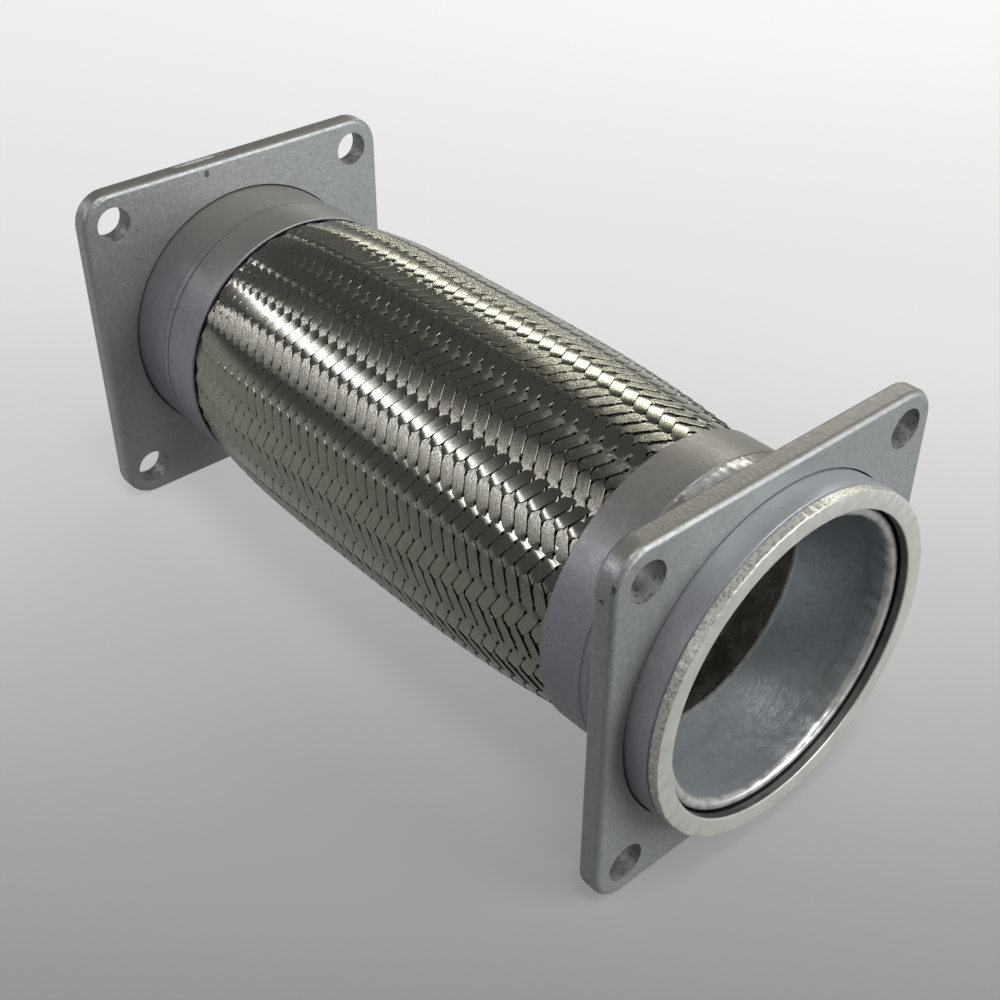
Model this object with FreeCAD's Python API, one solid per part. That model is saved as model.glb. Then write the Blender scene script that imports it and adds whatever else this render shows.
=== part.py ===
import FreeCAD, Part
import math
import os
from FreeCAD import Vector

# Flexible exhaust pipe between two loose square flanges.
# The pipe axis is X. The near end is at +X, the far end at -X, and +Z is up.
# The origin is on the axis, halfway between the two sealing faces.

# Whole pipe
overall_length = 300.0
tube_diameter = 101.6
tube_wall = 2.0

# Square flanges, loose on the collars
flange_side = 130.0
flange_thickness = 8.0
flange_corner_radius = 12.0
flange_edge_round = 1.2
bolt_inset = 12.0
bolt_hole_diameter = 13.0
flange_clearance = 0.5
flange_seat_gap = 0.2
counterbore_depth = 4.0

# Turned sealing rings on the collar ends
ring_width = 6.7
ring_stand_out = 12.0
ring_edge_break = 0.35
rough_band_width = 3.6
rough_band_step = 0.35

# Collars: reach is the length from the sealing face to the weld
near_collar_reach = 36.0
far_collar_reach = 42.0
collar_set_back = 6.0
weld_bead_width = 4.0
weld_bead_height = 1.0

# Spun inner cones
cone_set_back = 3.2
cone_wall = 1.8
cone_mouth_depth = 12.0
cone_shoulder_share = 0.7
cone_clearance = 0.3
throat_tail = 5.0

# Ferrules over the braid ends
ferrule_length = 17.0
ferrule_wall = 1.2
ferrule_step = 0.5

# Braid
braid_clearance = 0.3
braid_wall = 1.1
braid_ridge = 0.5
braid_bulge = 5.5
braid_bulge_middle = -6.0
near_fullness = 2.9
far_fullness = 4.0
strand_columns = 36
strand_rows = 36
lining_rows = 2
gap_length = 2.0
gap_width = 1.6
gap_spread = 12

# Bellows under the braid
bellows_clearance = 0.5
bellows_wall = 0.8
bellows_folds = 13
bellows_crest_share = 0.3
bellows_root_share = 0.25
bellows_end_straight = 9.0
bellows_root_drop = 0.4

# Strip-wound liner with a polygon section
liner_clearance = 0.3
liner_sides = 20
liner_wall = 0.9
liner_turns = 34
liner_turn_step = 0.6
liner_end_gap = 1.0

half_length = overall_length / 2
tube_radius = tube_diameter / 2
near_weld_x = half_length - near_collar_reach
far_weld_x = far_collar_reach - half_length
near_braid_x = near_weld_x - ferrule_length
far_braid_x = far_weld_x + ferrule_length
ferrule_radius = tube_radius + ferrule_step
braid_edge_radius = ferrule_radius - ferrule_wall - braid_clearance
cuff_radius = braid_edge_radius - braid_ridge - braid_wall - bellows_clearance
root_radius = cuff_radius - bellows_root_drop
liner_corner_radius = root_radius - bellows_wall - liner_clearance
liner_outer_flat = liner_corner_radius * math.cos(math.pi / liner_sides)
liner_flat_radius = liner_outer_flat - liner_wall - liner_turn_step
cone_tail_radius = liner_flat_radius - cone_clearance
throat_radius = cone_tail_radius - cone_wall
bolt_spacing = flange_side - 2 * bolt_inset
start_point = Vector(0, 0, 0)
pipe_axis = Vector(1, 0, 0)


def outline(start, *steps):
    """Face in the XZ plane: each step is an end point, or a middle point and an end point of an arc."""
    edges = []
    here = Vector(start[0], 0, start[1])
    for step in list(steps) + [start]:
        there = Vector(step[-2], 0, step[-1])
        if len(step) == 4:
            edges.append(Part.Arc(here, Vector(step[0], 0, step[1]), there).toShape())
        elif there.distanceToPoint(here) > 1e-7:
            edges.append(Part.makeLine(here, there))
        here = there
    return Part.Face(Part.Wire(edges))


def turned(start, *steps):
    """Solid turned about the pipe axis from its outline."""
    return outline(start, *steps).revolve(start_point, pipe_axis, 360)


def turned_at_end(side, *steps):
    """Solid turned from points given as depth behind one end's sealing face, and radius."""
    placed = []
    for step in steps:
        place = list(step)
        place[0::2] = [side * (half_length - depth) for depth in step[0::2]]
        placed.append(place)
    return turned(*placed)


def flange(side):
    """Square plate with round corners, four bolt holes and a stepped bore for the collar and its ring."""
    inner_x = half_length - ring_stand_out - flange_thickness
    half = flange_side / 2
    plate = Part.makeBox(flange_thickness, flange_side, flange_side, Vector(inner_x, -half, -half))
    corners = [e for e in plate.Edges if e.BoundBox.XLength > flange_thickness / 2]
    plate = plate.makeFillet(flange_corner_radius, corners)
    rims = [e for e in plate.Edges if e.BoundBox.XLength < flange_thickness / 2]
    plate = plate.makeFillet(min(flange_edge_round, flange_thickness / 3), rims)
    bore = tube_radius + flange_clearance
    seat = tube_radius + ring_width + flange_clearance
    cuts = [Part.makeCylinder(bore, flange_thickness, Vector(inner_x, 0, 0), pipe_axis)]
    cuts.append(Part.makeCylinder(seat, counterbore_depth,
                                  Vector(inner_x + flange_thickness - counterbore_depth, 0, 0), pipe_axis))
    for y in (-bolt_spacing / 2, bolt_spacing / 2):
        for z in (-bolt_spacing / 2, bolt_spacing / 2):
            cuts.append(Part.makeCylinder(bolt_hole_diameter / 2, flange_thickness,
                                          Vector(inner_x, y, z), pipe_axis))
    for cut in cuts:
        plate = plate.cut(cut)
    return plate if side > 0 else plate.mirror(start_point, pipe_axis)


def seal_ring(side):
    """Turned ring on the collar's end, with a bare face, a rough bare band and a painted side."""
    back = ring_stand_out + counterbore_depth - flange_seat_gap
    radius = tube_radius + ring_width
    band = radius - rough_band_step
    return turned_at_end(side, (0, tube_radius), (0, band - ring_edge_break), (ring_edge_break, band),
                         (rough_band_width, band), (rough_band_width, radius), (back, radius),
                         (back, tube_radius))


def collar(side, reach):
    """Tube stub through the flange, with the weld bead that joins it to the ferrule."""
    bead_middle = reach - weld_bead_width / 2
    inside = tube_radius - tube_wall
    return turned_at_end(side, (collar_set_back, inside), (collar_set_back, tube_radius),
                         (reach - weld_bead_width, tube_radius),
                         (bead_middle, tube_radius + weld_bead_height, reach, tube_radius),
                         (reach, inside))


def inner_cone(side, reach):
    """Spun cone from the mouth down to the liner, with a rolled lip and a straight tail."""
    mouth = tube_radius - tube_wall
    lip = cone_set_back + cone_wall / 2
    middle = (cone_mouth_depth + reach) / 2
    shoulder = throat_radius + cone_shoulder_share * (mouth - cone_wall - throat_radius)
    return turned_at_end(side, (lip, mouth), (cone_mouth_depth, mouth),
                         (middle, shoulder + cone_wall, reach, cone_tail_radius),
                         (reach + throat_tail, cone_tail_radius), (reach + throat_tail, throat_radius),
                         (reach, throat_radius),
                         (middle, shoulder, cone_mouth_depth, mouth - cone_wall),
                         (lip, mouth - cone_wall),
                         (cone_set_back, mouth - cone_wall / 2, lip, mouth))


def ferrule(side, reach):
    """Sleeve pressed over the end of the braid, with a rounded lip."""
    inside = ferrule_radius - ferrule_wall
    end = reach + ferrule_length
    lip = ferrule_wall / 2
    return turned_at_end(side, (reach, inside), (reach, ferrule_radius), (end - lip, ferrule_radius),
                         (end, ferrule_radius - lip, end - lip, inside))


def braid_radius(x):
    """Outer radius of the braid at x: pinched at the ferrules and bulged like a barrel between them."""
    if x > braid_bulge_middle:
        drop = ((x - braid_bulge_middle) / (near_braid_x - braid_bulge_middle)) ** near_fullness
    else:
        drop = ((braid_bulge_middle - x) / (braid_bulge_middle - far_braid_x)) ** far_fullness
    return braid_edge_radius + braid_bulge * (1 - min(drop, 1))


def ring_of_points(x, radius, sides):
    """Points of a regular polygon round the axis."""
    turn = 2 * math.pi / sides
    return [Vector(x, radius * math.cos(turn * k), radius * math.sin(turn * k)) for k in range(sides)]


def polygon_tube(sections):
    """Ruled solid through regular polygons, each given as x and the radius of its flats."""
    wires = []
    for x, flat_radius in sections:
        points = ring_of_points(x, flat_radius / math.cos(math.pi / liner_sides), liner_sides)
        wires.append(Part.makePolygon(points + points[:1]))
    return Part.makeLoft(wires, True, True)


def band(first, second):
    """Facets between two rings of points, facing outwards when the second ring has the greater x."""
    facets = []
    for k in range(len(first)):
        after = (k + 1) % len(first)
        facets.append((first[k], second[k], first[after]))
        facets.append((first[after], second[k], second[after]))
    return facets


def chevron_column(low, high):
    """Facets of one column of slanted ridges, each rising by one row from the low side to the high side."""
    facets = [(low[0], low[1], high[0])]
    for level in range(len(low) - 2):
        facets.append((low[level + 1], low[level + 2], high[level]))
        facets.append((high[level], low[level + 2], high[level + 1]))
    facets.append((high[-2], low[-1], high[-1]))
    return facets


def braid():
    """Two by two braid of flat strands: slanted ridges on one barrel-shaped wall, with gaps at crossings."""
    pitch = (near_braid_x - far_braid_x) / strand_rows
    ends = (far_weld_x + braid_clearance, near_weld_x - braid_clearance)
    skin = []
    for level in range(2 * strand_rows + 1):
        x = far_braid_x + level * pitch / 2
        radius = braid_radius(x) - (0 if level % 2 else braid_ridge)
        skin.append(ring_of_points(x, radius, strand_columns))
    facets = []
    for column in range(strand_columns):
        here = [ring[column] for ring in skin]
        there = [ring[(column + 1) % strand_columns] for ring in skin]
        if column % 2:
            facets += chevron_column(here, there)
        else:
            facets += [corner[::-1] for corner in chevron_column(there, here)]
    lining_x = [far_braid_x + pitch * row for row in range(0, strand_rows, lining_rows)] + [near_braid_x]
    lining = [(x, braid_radius(x) - braid_ridge - braid_wall) for x in [ends[0]] + lining_x + [ends[1]]]
    inside = [ring_of_points(x, radius, strand_columns) for x, radius in lining]
    outer_ends = [ring_of_points(x, braid_edge_radius - braid_ridge, strand_columns) for x in ends]
    facets += band(outer_ends[0], skin[0]) + band(skin[-1], outer_ends[1])
    facets += band(outer_ends[1], inside[-1]) + band(inside[0], outer_ends[0])
    for here, there in zip(inside[1:], inside[:-1]):
        facets += band(here, there)
    woven = Part.Shape()
    woven.makeShapeFromMesh(mesh_of(facets), 1e-5)
    wall = Part.Solid(Part.Shell(woven.Faces))
    return wall.cut(crossing_gaps(pitch))


def mesh_of(facets):
    """Points and point numbers of a list of facets."""
    points = []
    numbers = {}
    faces = []
    for facet in facets:
        for point in facet:
            if id(point) not in numbers:
                numbers[id(point)] = len(points)
                points.append(point)
        faces.append(tuple(numbers[id(point)] for point in facet))
    return points, faces


def crossing_gaps(pitch):
    """Cutters of the small diamond gaps in the furrows, spread evenly over the braid."""
    diamond = [(gap_length / 2, 0), (0, gap_width / 2), (-gap_length / 2, 0), (0, -gap_width / 2)]
    corners = [Vector(x, y, cuff_radius / 2) for x, y in diamond + diamond[:1]]
    cutter = Part.Face(Part.makePolygon(corners)).extrude(Vector(0, 0, cuff_radius))
    cutters = []
    for column in range(strand_columns):
        for row in range(1, strand_rows):
            if (row + 5 * column) % gap_spread == 0:
                gap = cutter.copy()
                gap.translate(Vector(far_braid_x + row * pitch, 0, 0))
                gap.rotate(start_point, pipe_axis, 360 * column / strand_columns - 90)
                cutters.append(gap)
    return cutters


def bellows():
    """Corrugated tube from ferrule to ferrule, with crests that carry the braid."""
    first = far_braid_x + bellows_end_straight
    pitch = (near_braid_x - bellows_end_straight - first) / bellows_folds
    slack = braid_ridge + braid_wall + bellows_clearance
    crest_half = pitch * bellows_crest_share / 2
    root_half = pitch * bellows_root_share / 2
    wave = [(far_weld_x + braid_clearance, cuff_radius), (first, cuff_radius)]
    for fold in range(bellows_folds):
        middle = first + (fold + 0.5) * pitch
        crest = (braid_radius(middle) - slack) * math.cos(math.pi / strand_columns)
        wave += [(middle - crest_half, crest), (middle + crest_half, crest)]
        if fold < bellows_folds - 1:
            wave += [(middle + pitch / 2 - root_half, root_radius), (middle + pitch / 2 + root_half, root_radius)]
    wave += [(near_braid_x - bellows_end_straight, cuff_radius), (near_weld_x - braid_clearance, cuff_radius)]
    line = Part.makePolygon([Vector(x, 0, z) for x, z in wave])
    section = line.makeOffset2D(-bellows_wall, 2, True, True, False)
    return section.revolve(start_point, pipe_axis, 360)


def liner():
    """Strip-wound hose: flat strips that lap each other inside a polygon tube."""
    far_x = far_weld_x + liner_end_gap
    near_x = near_weld_x - liner_end_gap
    turn = (near_x - far_x) / liner_turns
    laps = []
    for k in range(liner_turns):
        laps.append((far_x + k * turn, liner_flat_radius))
        laps.append((far_x + (k + 0.97) * turn, liner_flat_radius + liner_turn_step))
    laps.append((near_x, liner_flat_radius))
    return polygon_tube([(far_x, liner_outer_flat), (near_x, liner_outer_flat)]).cut(polygon_tube(laps))


def build():
    """Name and shape of every piece of the pipe."""
    return {
        "near_flange": flange(1),
        "far_flange": flange(-1),
        "near_seal_ring": seal_ring(1),
        "far_seal_ring": seal_ring(-1),
        "near_collar": collar(1, near_collar_reach),
        "far_collar": collar(-1, far_collar_reach),
        "near_inner_cone": inner_cone(1, near_collar_reach),
        "far_inner_cone": inner_cone(-1, far_collar_reach),
        "near_ferrule": ferrule(1, near_collar_reach),
        "far_ferrule": ferrule(-1, far_collar_reach),
        "braid": braid(),
        "bellows": bellows(),
        "liner": liner(),
    }


os.makedirs("parts", exist_ok=True)
for name, shape in build().items():
    shape.exportStep("parts/" + name + ".step")
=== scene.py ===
import logging
import math
import random
from dataclasses import dataclass
from enum import Enum, IntEnum
from typing import Callable, Optional, Sequence

import bpy
from mathutils import Matrix, Vector, noise


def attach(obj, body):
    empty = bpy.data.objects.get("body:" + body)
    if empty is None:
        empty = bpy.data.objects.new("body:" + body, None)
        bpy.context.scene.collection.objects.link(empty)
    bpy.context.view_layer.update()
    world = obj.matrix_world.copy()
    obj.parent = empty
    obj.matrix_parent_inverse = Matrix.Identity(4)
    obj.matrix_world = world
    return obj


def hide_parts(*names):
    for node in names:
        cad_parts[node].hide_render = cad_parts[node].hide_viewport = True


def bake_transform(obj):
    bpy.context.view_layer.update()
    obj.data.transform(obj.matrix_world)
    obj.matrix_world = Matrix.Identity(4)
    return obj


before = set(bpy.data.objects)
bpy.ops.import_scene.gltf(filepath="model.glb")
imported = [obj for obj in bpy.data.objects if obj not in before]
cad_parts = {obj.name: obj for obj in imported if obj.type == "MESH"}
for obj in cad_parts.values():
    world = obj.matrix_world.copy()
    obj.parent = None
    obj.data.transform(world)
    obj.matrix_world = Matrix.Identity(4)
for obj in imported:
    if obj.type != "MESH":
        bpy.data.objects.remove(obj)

MM = 0.001
Point = tuple[float, float]
Colour = tuple[float, float, float]
log = logging.getLogger("exhaust_flex_pipe")


class End(Enum):
    """The two ends of the pipe, with the sign of X on each."""

    NEAR = 1
    FAR = -1

    @property
    def label(self) -> str:
        """The word that starts the names of this end's pieces."""
        return self.name.lower()


class Lean(Enum):
    """The two ways in which the braid's strands wind round the pipe."""

    RIGHT = 1
    LEFT = -1


# Modelling helpers
def deselect_all() -> None:
    """Leaves nothing selected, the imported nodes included."""
    if bpy.context.mode != "OBJECT":
        bpy.ops.object.mode_set(mode="OBJECT")
    bpy.ops.object.select_all(action="DESELECT")


def make_active(piece: bpy.types.Object) -> None:
    """Selects one piece alone and makes it the active one."""
    deselect_all()
    piece.select_set(True)
    bpy.context.view_layer.objects.active = piece


def apply_modifiers(piece: bpy.types.Object) -> None:
    """Applies every modifier of a piece, in order."""
    make_active(piece)
    for modifier in list(piece.modifiers):
        bpy.ops.object.modifier_apply(modifier=modifier.name)


def settle(piece: bpy.types.Object, name: str, smooth_angle: float = 35.0,
           flat_faces: bool = True) -> bpy.types.Object:
    """Names a piece, bakes its place into its mesh and smooths its soft edges.

    Args:
        piece: The modelled object.
        name: The name to give it and its mesh.
        smooth_angle: Edges flatter than this many degrees are shaded smooth.
        flat_faces: True where large flat faces are to look flat up to their rounded rims.

    Returns:
        The same object.
    """
    make_active(piece)
    bpy.ops.object.transform_apply(location=True, rotation=True, scale=True)
    bpy.ops.object.shade_smooth_by_angle(angle=math.radians(smooth_angle))
    if flat_faces:
        flat = piece.modifiers.new("flat_faces", "WEIGHTED_NORMAL")
        flat.keep_sharp = True
        apply_modifiers(piece)
    piece.name = name
    piece.data.name = name
    return piece


def mesh_piece(name: str, points: Sequence[Sequence[float]], faces: Sequence[Sequence[int]],
               edges: Sequence[Sequence[int]] = ()) -> bpy.types.Object:
    """Makes an object from points in metres and faces or edges.

    Args:
        name: The object's name.
        points: The vertices.
        faces: Vertex numbers of each face.
        edges: Vertex numbers of each loose edge.

    Returns:
        The new object, linked to the scene.
    """
    mesh = bpy.data.meshes.new(name)
    mesh.from_pydata([tuple(p) for p in points], [tuple(e) for e in edges], [tuple(f) for f in faces])
    mesh.update()
    piece = bpy.data.objects.new(name, mesh)
    bpy.context.scene.collection.objects.link(piece)
    return piece


def spun(name: str, outline: Sequence[Point], steps: int = 160, smooth_angle: float = 35.0,
         turn: float = 0.0) -> bpy.types.Object:
    """Spins a closed outline about the pipe's axis.

    Args:
        name: The piece's name.
        outline: Points of the closed outline as x and radius, in millimetres.
        steps: Number of segments round the axis.
        smooth_angle: Edges flatter than this many degrees are shaded smooth.
        turn: Angle in degrees at which the outline starts.

    Returns:
        The turned piece.
    """
    angle = math.radians(turn)
    points = [(x * MM, r * MM * math.cos(angle), r * MM * math.sin(angle)) for x, r in outline]
    count = len(points)
    piece = mesh_piece(name, points, [], [(k, (k + 1) % count) for k in range(count)])
    make_active(piece)
    bpy.ops.object.mode_set(mode="EDIT")
    bpy.ops.mesh.select_all(action="SELECT")
    bpy.ops.mesh.spin(steps=steps, angle=2 * math.pi, center=(0, 0, 0), axis=(1, 0, 0))
    bpy.ops.mesh.select_all(action="SELECT")
    bpy.ops.mesh.remove_doubles(threshold=1e-6)
    bpy.ops.mesh.normals_make_consistent(inside=False)
    bpy.ops.object.mode_set(mode="OBJECT")
    return settle(piece, name, smooth_angle)


def scale_out(vertex: bpy.types.MeshVertex, share: float) -> None:
    """Moves one vertex away from the pipe's axis, or towards it, by a share of its radius."""
    vertex.co.y *= share
    vertex.co.z *= share


def arc(centre: Point, radius: float, start: float, end: float, count: int) -> list[Point]:
    """Points on a circle in the outline's plane.

    Args:
        centre: Centre as x and radius, in millimetres.
        radius: Radius of the arc in millimetres.
        start: First angle in degrees.
        end: Last angle in degrees.
        count: Number of steps.

    Returns:
        The points, both ends included.
    """
    points = []
    for k in range(count + 1):
        angle = math.radians(start + (end - start) * k / count)
        points.append((centre[0] + radius * math.cos(angle), centre[1] + radius * math.sin(angle)))
    return points


def dress(piece: bpy.types.Object, *materials: bpy.types.Material) -> bpy.types.Object:
    """Puts materials into a piece's slots, in order."""
    piece.data.materials.clear()
    for material in materials:
        piece.data.materials.append(material)
    return piece


def paint_faces(piece: bpy.types.Object, choose: Callable[[Vector, Vector], int]) -> None:
    """Gives each face the slot that choose picks from its centre in millimetres and its normal."""
    for face in piece.data.polygons:
        face.material_index = choose(face.center / MM, face.normal)


# Finishes
class Nodes:
    """A small hand for laying out one material's nodes."""

    def __init__(self, name: str) -> None:
        """Starts an empty node material.

        Args:
            name: The material's name.
        """
        self.material = bpy.data.materials.new(name)
        self.material.use_nodes = True
        self.tree = self.material.node_tree
        self.tree.nodes.clear()
        self.coordinates = self.add("ShaderNodeTexCoord")

    def add(self, kind: str, inputs: Optional[dict] = None, **settings: object) -> bpy.types.Node:
        """Adds a node, sets its properties and feeds its inputs.

        Args:
            kind: The node's type.
            inputs: Input name or number to a value or to the socket that feeds it.
            **settings: Properties of the node.

        Returns:
            The new node.
        """
        node = self.tree.nodes.new(kind)
        for key, value in settings.items():
            setattr(node, key, value)
        for key, value in (inputs or {}).items():
            if isinstance(value, bpy.types.NodeSocket):
                self.tree.links.new(value, node.inputs[key])
            else:
                node.inputs[key].default_value = value
        return node

    def math(self, operation: str, first: object, second: object = 0.0,
             clamp: bool = False) -> bpy.types.NodeSocket:
        """One step of arithmetic on two values or sockets."""
        node = self.add("ShaderNodeMath", {0: first, 1: second}, operation=operation, use_clamp=clamp)
        return node.outputs[0]

    def place(self) -> bpy.types.NodeSocket:
        """The piece's own Object coordinates."""
        return self.coordinates.outputs["Object"]

    def noise(self, scale: float, detail: float = 3.0, rough: float = 0.55,
              vector: Optional[bpy.types.NodeSocket] = None) -> bpy.types.NodeSocket:
        """A soft noise value over the piece.

        Args:
            scale: Features per metre.
            detail: Number of finer layers.
            rough: Strength of the finer layers.
            vector: Coordinates to read in place of Object coordinates.

        Returns:
            The noise value's socket.
        """
        node = self.add("ShaderNodeTexNoise", {"Vector": vector or self.place(), "Scale": scale,
                                               "Detail": detail, "Roughness": rough})
        return node.outputs["Fac"]

    def ramp(self, value: bpy.types.NodeSocket, low: float, high: float,
             to_low: float = 0.0, to_high: float = 1.0) -> bpy.types.NodeSocket:
        """Maps one range of a value smoothly to another."""
        node = self.add("ShaderNodeMapRange", {"Value": value, "From Min": low, "From Max": high,
                                               "To Min": to_low, "To Max": to_high},
                        interpolation_type="SMOOTHSTEP")
        return node.outputs["Result"]

    def mix(self, factor: object, first: object, second: object) -> bpy.types.NodeSocket:
        """Mixes two colours.

        Args:
            factor: Share of the second colour.
            first: First colour or socket.
            second: Second colour or socket.

        Returns:
            The mixed colour's socket.
        """
        node = self.add("ShaderNodeMix", data_type="RGBA")
        for key, value in ((0, factor), (6, first), (7, second)):
            if isinstance(value, bpy.types.NodeSocket):
                self.tree.links.new(value, node.inputs[key])
            elif key == 0:
                node.inputs[key].default_value = value
            else:
                node.inputs[key].default_value = (*value, 1.0)
        return node.outputs[2]

    def tint(self, base: bpy.types.NodeSocket, mask: bpy.types.NodeSocket, share: float,
             colour: Colour) -> bpy.types.NodeSocket:
        """Lays a colour over a base where a mask says, by a share of the mask."""
        return self.mix(self.math("MULTIPLY", mask, share), base, colour)

    def uneven(self, value: bpy.types.NodeSocket, middle: float, less: float,
               more: float) -> bpy.types.NodeSocket:
        """Roughness that strays from its middle to both sides with a noise value."""
        return self.ramp(value, 0.3, 0.7, middle - less, middle + more)

    def bump(self, height: bpy.types.NodeSocket, depth: float,
             normal: Optional[bpy.types.NodeSocket] = None) -> bpy.types.NodeSocket:
        """Turns a height into a shading normal.

        Args:
            height: Height value's socket.
            depth: Depth in millimetres of the full range.
            normal: Normal to add to.

        Returns:
            The normal's socket.
        """
        inputs = {"Height": height, "Distance": depth * MM, "Strength": 1.0}
        if normal is not None:
            inputs["Normal"] = normal
        return self.add("ShaderNodeBump", inputs).outputs["Normal"]

    def spot(self, centre: Sequence[float], reach: Sequence[float]) -> bpy.types.NodeSocket:
        """A worn spot with a ragged rim.

        Args:
            centre: Its middle in millimetres.
            reach: Its half-size along each axis in millimetres.

        Returns:
            A value of 1 inside the spot and 0 outside it.
        """
        offset = self.add("ShaderNodeVectorMath", {0: self.place(), 1: [v * MM for v in centre]},
                          operation="SUBTRACT").outputs[0]
        scaled = self.add("ShaderNodeVectorMath", {0: offset, 1: [1 / (v * MM) for v in reach]},
                          operation="MULTIPLY").outputs[0]
        away = self.add("ShaderNodeVectorMath", {0: scaled}, operation="LENGTH").outputs["Value"]
        rag_scale, rag_depth, outside, inside = 1100.0, 1.8, 1.85, 1.6
        ragged = self.math("ADD", away, self.math("MULTIPLY", self.noise(rag_scale, 3.0, 0.6), rag_depth))
        return self.ramp(ragged, outside, inside)

    def finish(self, **inputs: object) -> bpy.types.Material:
        """Closes the material with one Principled shader.

        Args:
            **inputs: Shader inputs, with underscores for spaces.

        Returns:
            The finished material.
        """
        shader = self.add("ShaderNodeBsdfPrincipled",
                          {key.replace("_", " "): value for key, value in inputs.items()})
        self.add("ShaderNodeOutputMaterial", {"Surface": shader.outputs[0]})
        return self.material


@dataclass(frozen=True)
class WornSpot:
    """One chip or rub in the paint: its middle and half-size in millimetres, and the metal under it."""

    centre: tuple[float, float, float]
    reach: tuple[float, float, float]
    metal: Colour


@dataclass(frozen=True)
class SilverPaint:
    """Sprayed silver paint: fine metal flake, a slight orange peel, dark specks of dirt and small chips.

    Scales are features per metre, and grain and lumps are depths in millimetres.
    """

    name: str
    colour: Colour = (0.37, 0.384, 0.384)
    shade: Colour = (0.287, 0.298, 0.30)
    metallic: float = 0.55
    roughness: float = 0.42
    grain: float = 0.11
    chips: float = 0.0
    lumps: float = 0.0
    top_shade_and_dust: Colour = (0.215, 0.205, 0.175)
    worn: tuple[WornSpot, ...] = ()
    glint: Colour = (0.74, 0.76, 0.76)
    speck: Colour = (0.07, 0.065, 0.06)
    bare: Colour = (0.10, 0.095, 0.09)
    cloud_scale: float = 26.0
    grain_scale: float = 560.0
    flake_scale: float = 2300.0
    speck_scale: float = 620.0
    chip_scale: float = 240.0
    peel_scale: float = 820.0
    lump_scale: float = 190.0
    wipe_scale: float = 340.0

    def material(self) -> bpy.types.Material:
        """Lays out the paint's nodes: cloud, flake, painted shade with some settled dirt on what faces up,
        specks, chips and worn spots.
        """
        n = Nodes(self.name)
        cloud = n.ramp(n.noise(self.cloud_scale, 4.0, 0.6), 0.32, 0.68)
        base = n.mix(n.math("MULTIPLY", cloud, 0.5), self.colour, self.shade)
        fine = n.noise(self.grain_scale, 4.0, 0.75)
        base = n.mix(n.ramp(fine, 0.32, 0.68, 0.0, 0.75), base, self.shade)
        flake = n.add("ShaderNodeTexVoronoi", {"Vector": n.place(), "Scale": self.flake_scale})
        base = n.tint(base, n.ramp(flake.outputs["Color"], 0.78, 0.98), 0.26, self.glint)
        # Faces that point up are darkened and warmed: painted shade and a painted reflection of a dim warm
        # ceiling, with some settled dirt.
        upward = n.add("ShaderNodeSeparateXYZ", {0: n.coordinates.outputs["Normal"]}).outputs["Z"]
        base = n.mix(n.ramp(upward, 0.45, 0.95, 0.0, 0.8), base, self.top_shade_and_dust)
        base = n.tint(base, n.ramp(n.noise(self.speck_scale, 2.0, 0.5), 0.70, 0.76), 0.4, self.speck)
        if self.chips:
            chip = n.ramp(n.noise(self.chip_scale, 3.0, 0.62), 0.80 - self.chips, 0.83 - self.chips)
            base = n.tint(base, chip, 0.7, self.bare)
        for spot in self.worn:
            base = n.mix(n.spot(spot.centre, spot.reach), base, spot.metal)
        normal = n.bump(n.noise(self.peel_scale, 2.0, 0.5), self.grain)
        if self.lumps:
            normal = n.bump(n.noise(self.lump_scale, 3.0, 0.55), self.lumps, normal)
        rough = n.uneven(n.noise(self.wipe_scale, 3.0, 0.6), self.roughness, 0.05, 0.07)
        return n.finish(Base_Color=base, Metallic=self.metallic, Roughness=rough, Normal=normal)


@dataclass(frozen=True)
class MachinedFace:
    """Bare steel faced on a lathe: faint rings about the pipe's axis and a few stains."""

    name: str
    colour: Colour = (0.69, 0.695, 0.64)
    stain: Colour = (0.50, 0.48, 0.42)
    pit: Colour = (0.20, 0.19, 0.16)
    metallic: float = 0.6
    roughness: float = 0.34
    tool_pitch: float = 0.35
    tool_depth: float = 0.004

    def material(self) -> bpy.types.Material:
        """Lays out the machined face's nodes."""
        n = Nodes(self.name)
        split = n.add("ShaderNodeSeparateXYZ", {0: n.place()})
        across = n.math("POWER", split.outputs["Y"], 2.0)
        upward = n.math("POWER", split.outputs["Z"], 2.0)
        radius = n.math("SQRT", n.math("ADD", across, upward))
        tool = n.math("SINE", n.math("MULTIPLY", radius, 2 * math.pi / (self.tool_pitch * MM)))
        stain = n.ramp(n.noise(95.0, 5.0, 0.65), 0.52, 0.74)
        base = n.mix(n.math("MULTIPLY", stain, 0.45), self.colour, self.stain)
        base = n.mix(n.ramp(tool, -1.0, 1.0, 0.0, 0.10), base, self.stain)
        base = n.tint(base, n.ramp(n.noise(900.0, 2.0, 0.5), 0.70, 0.76), 0.4, self.pit)
        normal = n.bump(tool, self.tool_depth)
        normal = n.bump(n.noise(700.0, 3.0, 0.6), 0.02, normal)
        rough = n.uneven(n.noise(160.0, 4.0, 0.6), self.roughness, 0.06, 0.12)
        return n.finish(Base_Color=base, Metallic=self.metallic, Roughness=rough, Normal=normal)


@dataclass(frozen=True)
class RoughBare:
    """Bare metal with a coarse torn grain, as on the ring's knurled rim and on weld metal."""

    name: str
    colour: Colour = (0.72, 0.71, 0.65)
    pit: Colour = (0.36, 0.35, 0.30)
    scale: float = 1100.0
    depth: float = 0.10
    roughness: float = 0.42
    metallic: float = 0.65

    def material(self) -> bpy.types.Material:
        """Lays out the rough bare metal's nodes."""
        n = Nodes(self.name)
        cell = n.add("ShaderNodeTexVoronoi", {"Vector": n.place(), "Scale": self.scale * 0.9})
        grain = n.math("ADD", n.math("MULTIPLY", n.noise(self.scale, 3.0, 0.6), 0.6),
                       n.math("MULTIPLY", cell.outputs["Distance"], 0.5))
        dark = n.ramp(grain, 0.30, 0.62)
        base = n.mix(dark, self.pit, self.colour)
        normal = n.bump(grain, self.depth)
        return n.finish(Base_Color=base, Metallic=self.metallic, Roughness=self.roughness, Normal=normal)


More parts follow.
